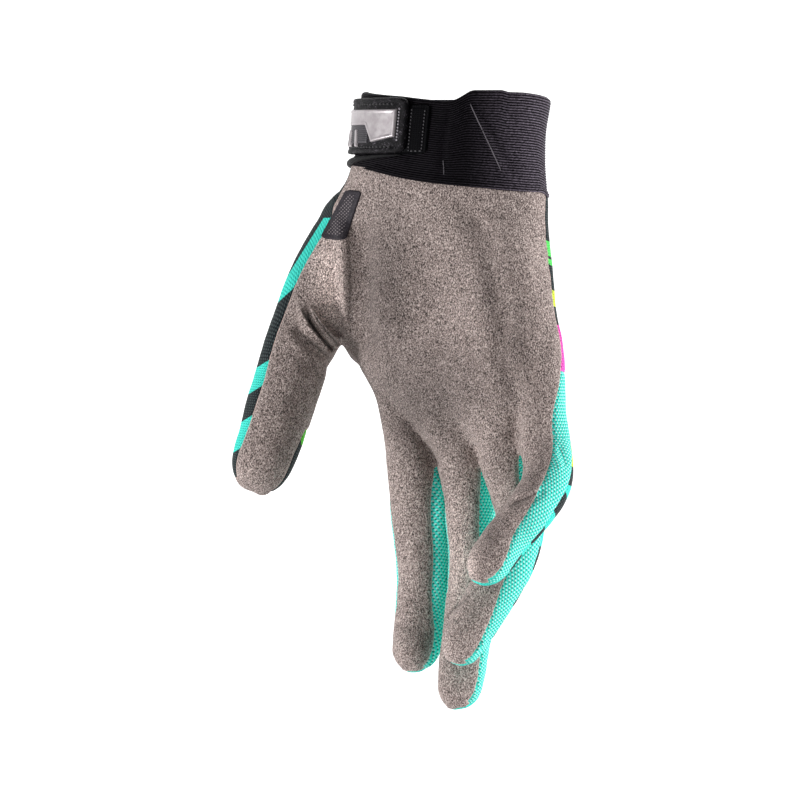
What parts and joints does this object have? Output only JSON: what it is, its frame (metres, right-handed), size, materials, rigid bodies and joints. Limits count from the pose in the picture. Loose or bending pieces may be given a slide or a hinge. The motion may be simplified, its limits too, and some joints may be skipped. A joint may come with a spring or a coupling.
{
  "type": "motocross glove",
  "caption": "Full-finger riding glove for the right hand: suede palm, mesh finger sides, ribbed knit cuff and a wrist strap with a moulded badge.",
  "frame": {"origin": "inside the wrist opening, in the plane of the cuff's highest edge, on the line of the forearm; a wrist or a hook holds the glove up there", "axes": "+Z along the forearm, away from the fingers; the palm faces -Y; the thumb is at -X and the little finger at +X"},
  "size_m": [0.1319, 0.0803, 0.2284],
  "materials": {
    "palm_suede": "napped taupe synthetic suede",
    "side_mesh": "turquoise stretch mesh",
    "back_fabric": "black mesh fabric printed with diagonal bands",
    "cuff_knit": "black fine ribbed stretch knit",
    "strap_cloth": "black stitched strap cloth",
    "hook_tape": "black hook tape",
    "badge_rubber": "satin silver moulded rubber",
    "label_rubber": "charcoal printed grip patch"
  },
  "bodies": {
    "root": {"palm_panel": "palm_suede", "back_panel": "back_fabric", "thumb_back_panel": "back_fabric", "index_side_panel": "side_mesh", "web_gusset_index_middle": "side_mesh", "web_gusset_middle_ring": "side_mesh", "web_gusset_ring_little": "side_mesh", "little_side_panel": "side_mesh", "cuff_band": "cuff_knit", "closure_strap": "strap_cloth", "hook_patch": "hook_tape", "strap_badge": "badge_rubber", "grip_label": "label_rubber"}
  },
  "joints": []
}
